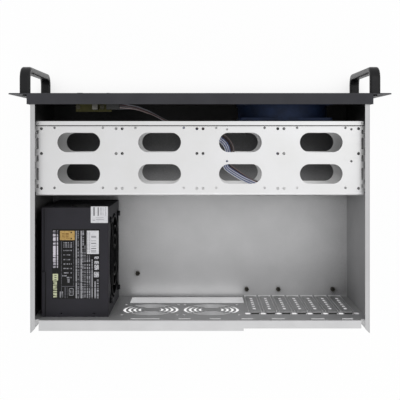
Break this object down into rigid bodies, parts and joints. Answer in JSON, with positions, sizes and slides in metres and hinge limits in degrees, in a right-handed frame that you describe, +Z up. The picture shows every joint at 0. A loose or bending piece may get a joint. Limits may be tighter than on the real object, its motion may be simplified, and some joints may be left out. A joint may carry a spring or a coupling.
{
  "type": "rackmount server case",
  "caption": "Short rackmount server case without its top cover: rack ears and handles, a front fan, drive shelves, vented slot covers and a fitted power supply.",
  "frame": {"origin": "middle of the whole case in X and Y, on the underside of its front plate, which is also the floor's height", "axes": "+X to the side with the power supply (the picture's left), +Y to the rear, +Z up; the front plate faces -Y"},
  "size_m": [0.4826, 0.3364, 0.177],
  "materials": {
    "rack_front_black": "satin",
    "handle_black": "satin",
    "sheet_steel_zinc": "satin",
    "shelf_steel_zinc": "satin",
    "screw_steel": "satin",
    "fan_black": "matte",
    "psu_steel_black": "satin",
    "inlet_black": "matte",
    "rocker_black": "gloss",
    "board_green": "satin",
    "usb_metal": "satin",
    "button_black": "gloss",
    "switch_black": "matte",
    "led_clear": "gloss",
    "header_black": "matte",
    "plug_black": "matte",
    "lead_sleeve": "satin",
    "retainer_black": "satin",
    "guard_steel": "satin",
    "bush_black": "matte",
    "standoff_brass": "satin"
  },
  "bodies": {
    "case": {"board_standoffs": "standoff_brass", "chassis_tray": "sheet_steel_zinc", "drive_shelf_lower": "shelf_steel_zinc", "drive_shelf_upper": "shelf_steel_zinc", "front_bulkhead": "rack_front_black", "front_fan_frame": "fan_black", "front_fan_screws": "screw_steel", "front_panel": "rack_front_black", "handle_left": "handle_black", "handle_right": "handle_black", "handle_screws": "screw_steel", "io_board": "board_green", "io_board_screws": "screw_steel", "io_bracket": "rack_front_black", "lead_end_plug": "plug_black", "lead_header": "header_black", "lead_header_plug": "plug_black", "panel_lead": "lead_sleeve", "panel_spacers": "sheet_steel_zinc", "power_switch": "switch_black", "psu_cover": "psu_steel_black", "psu_fan_frame": "fan_black", "psu_fan_guard": "guard_steel", "psu_fan_screws": "screw_steel", "psu_inlet": "inlet_black", "psu_lead_bush": "bush_black", "psu_screws": "screw_steel", "psu_shell": "psu_steel_black", "psu_switch_body": "inlet_black", "rear_panel": "sheet_steel_zinc", "reset_switch": "switch_black", "shelf_screws": "screw_steel", "slot_cover_1": "sheet_steel_zinc", "slot_cover_2": "sheet_steel_zinc", "slot_cover_3": "sheet_steel_zinc", "slot_cover_4": "sheet_steel_zinc", "slot_cover_5": "sheet_steel_zinc", "slot_cover_6": "sheet_steel_zinc", "slot_cover_7": "sheet_steel_zinc", "slot_retainer": "retainer_black", "slot_screws": "screw_steel", "status_leds": "led_clear", "usb_socket": "usb_metal"},
    "front_fan": {"front_fan_rotor": "fan_black"},
    "psu_fan": {"psu_fan_rotor": "fan_black"},
    "power_push": {"power_button": "button_black"},
    "reset_push": {"reset_button": "button_black"},
    "mains_rocker": {"psu_rocker": "rocker_black"}
  },
  "joints": [
    {"name": "front_fan_spin", "type": "hinge", "parent": "case", "child": "front_fan", "pos_m": [-0.111, -0.11175, 0.09], "axis": [0, 1, 0], "continuous": true},
    {"name": "psu_fan_spin", "type": "hinge", "parent": "case", "child": "psu_fan", "pos_m": [0.131, 0.08225, 0.079], "axis": [1, 0, 0], "continuous": true},
    {"name": "power_press", "type": "slide", "parent": "case", "child": "power_push", "axis": [0, 1, 0], "range_m": [0, 0.0012], "stiffness_N_per_m": 300, "springref_m": -0.0012},
    {"name": "reset_press", "type": "slide", "parent": "case", "child": "reset_push", "axis": [0, 1, 0], "range_m": [0, 0.0012], "stiffness_N_per_m": 300, "springref_m": -0.0012},
    {"name": "mains_switch", "type": "hinge", "parent": "case", "child": "mains_rocker", "pos_m": [0.16, 0.14905, 0.107], "axis": [1, 0, 0], "range_deg": [0, 20]}
  ]
}
